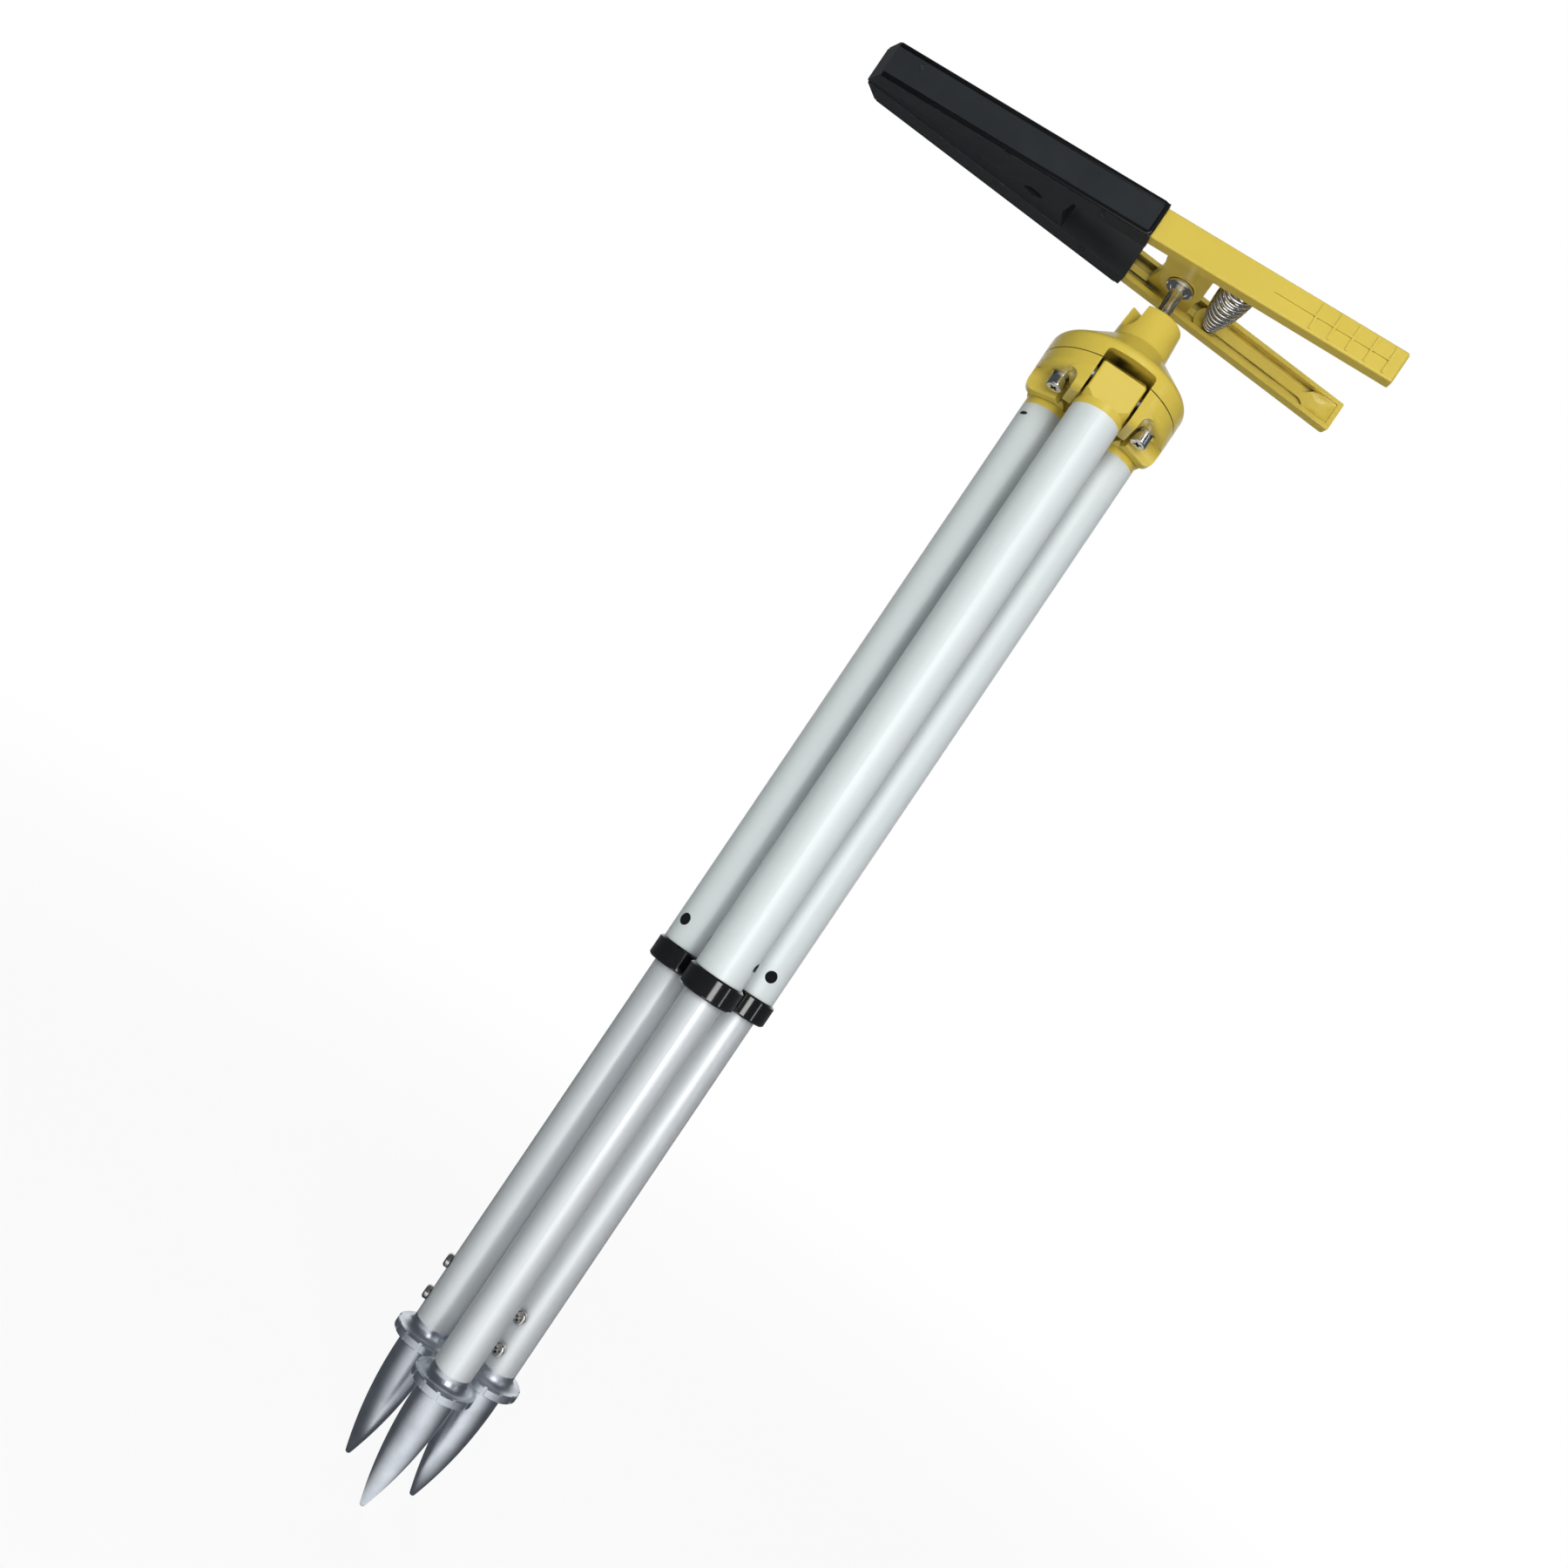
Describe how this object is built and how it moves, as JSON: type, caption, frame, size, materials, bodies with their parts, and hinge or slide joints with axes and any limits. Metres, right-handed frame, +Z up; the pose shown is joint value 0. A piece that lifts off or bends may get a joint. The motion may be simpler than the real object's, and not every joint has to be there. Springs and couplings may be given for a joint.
{
  "type": "leveling staff tripod",
  "caption": "Folding staff tripod: telescopic tube legs with spiked feet hinge under a cast head, and a spring clamp with black jaw sleeves on a ball stud grips a leveling staff.",
  "frame": {"origin": "on the tripod's axis at the level of the three spike tips, legs folded", "axes": "+Z up the tripod's axis to the clamp, -X towards the jaws of the clamp, -Y towards the front leg"},
  "size_m": [0.3088, 0.0819, 0.7793],
  "materials": {
    "enamel": "yellow enamel over die-cast aluminium",
    "upper_tube": "light satin anodised",
    "lower_tube": "satin drawn aluminium",
    "bush": "glossy black moulding",
    "jaw_sleeve": "satin black vinyl moulding",
    "foot": "cast aluminium, turned",
    "lock_plug": "turned",
    "screw": "bright nickel plate",
    "stud": "bright nickel plate",
    "spring_steel": "plated spring wire",
    "nylon": "natural nylon"
  },
  "bodies": {
    "head": {"head_cap": "enamel", "head_base": "enamel", "head_screws": "screw", "head_flat_washers": "screw", "head_spring_washers": "screw", "friction_cup": "nylon", "disc_springs": "spring_steel", "pressure_screw": "screw", "front_hinge_pin": "spring_steel", "right_hinge_pin": "spring_steel", "left_hinge_pin": "spring_steel"},
    "stud": {"ball_stud": "stud", "pivot_washer": "screw", "pivot_nut": "screw"},
    "front_clamp": {"front_clamp_arm": "enamel", "front_jaw_sleeve": "jaw_sleeve", "clamp_spring": "spring_steel"},
    "rear_clamp": {"rear_clamp_arm": "enamel", "rear_jaw_sleeve": "jaw_sleeve"},
    "front_upper_leg": {"front_knuckle": "enamel", "front_upper_tube": "upper_tube", "front_guide_bush": "bush"},
    "front_lock": {"front_lock_sleeve": "nylon"},
    "front_lower_leg": {"front_lower_tube": "lower_tube", "front_lock_plug": "lock_plug", "front_foot": "foot", "front_foot_screws": "screw"},
    "right_upper_leg": {"right_knuckle": "enamel", "right_upper_tube": "upper_tube", "right_guide_bush": "bush"},
    "right_lock": {"right_lock_sleeve": "nylon"},
    "right_lower_leg": {"right_lower_tube": "lower_tube", "right_lock_plug": "lock_plug", "right_foot": "foot", "right_foot_screws": "screw"},
    "left_upper_leg": {"left_knuckle": "enamel", "left_upper_tube": "upper_tube", "left_guide_bush": "bush"},
    "left_lock": {"left_lock_sleeve": "nylon"},
    "left_lower_leg": {"left_lower_tube": "lower_tube", "left_lock_plug": "lock_plug", "left_foot": "foot", "left_foot_screws": "screw"}
  },
  "joints": [
    {"name": "stud_tilt", "type": "hinge", "parent": "head", "child": "stud", "pos_m": [0, 0, 0.72385], "axis": [0.5, -0.866, 0], "range_deg": [-8, 60]},
    {"name": "clamp_swivel", "type": "hinge", "parent": "stud", "child": "front_clamp", "pos_m": [0, 0, 0.76205], "axis": [0, 0, 1], "continuous": true},
    {"name": "jaw_open", "type": "hinge", "parent": "front_clamp", "child": "rear_clamp", "pos_m": [0, 0, 0.76205], "axis": [0, 0, -1], "range_deg": [0, 28], "stiffness_Nm_per_rad": 4, "springref_deg": -22.92, "deforming": ["clamp_spring"]},
    {"name": "front_leg_spread", "type": "hinge", "parent": "head", "child": "front_upper_leg", "pos_m": [0, -0.0236, 0.682], "axis": [-1, 0, 0], "range_deg": [0, 32]},
    {"name": "front_leg_slide", "type": "slide", "parent": "front_upper_leg", "child": "front_lock", "axis": [0, 0, 1], "range_m": [0, 0.19]},
    {"name": "front_leg_twist", "type": "hinge", "parent": "front_lock", "child": "front_lower_leg", "pos_m": [0, -0.0236, 0.37], "axis": [0, 0, 1], "range_deg": [-90, 90]},
    {"name": "right_leg_spread", "type": "hinge", "parent": "head", "child": "right_upper_leg", "pos_m": [0.02044, 0.0118, 0.682], "axis": [0.5, -0.866, 0], "range_deg": [0, 32]},
    {"name": "right_leg_slide", "type": "slide", "parent": "right_upper_leg", "child": "right_lock", "axis": [0, 0, 1], "range_m": [0, 0.19]},
    {"name": "right_leg_twist", "type": "hinge", "parent": "right_lock", "child": "right_lower_leg", "pos_m": [0.02044, 0.0118, 0.37], "axis": [0, 0, 1], "range_deg": [-90, 90]},
    {"name": "left_leg_spread", "type": "hinge", "parent": "head", "child": "left_upper_leg", "pos_m": [-0.02044, 0.0118, 0.682], "axis": [0.5, 0.866, 0], "range_deg": [0, 32]},
    {"name": "left_leg_slide", "type": "slide", "parent": "left_upper_leg", "child": "left_lock", "axis": [0, 0, 1], "range_m": [0, 0.19]},
    {"name": "left_leg_twist", "type": "hinge", "parent": "left_lock", "child": "left_lower_leg", "pos_m": [-0.02044, 0.0118, 0.37], "axis": [0, 0, 1], "range_deg": [-90, 90]}
  ]
}
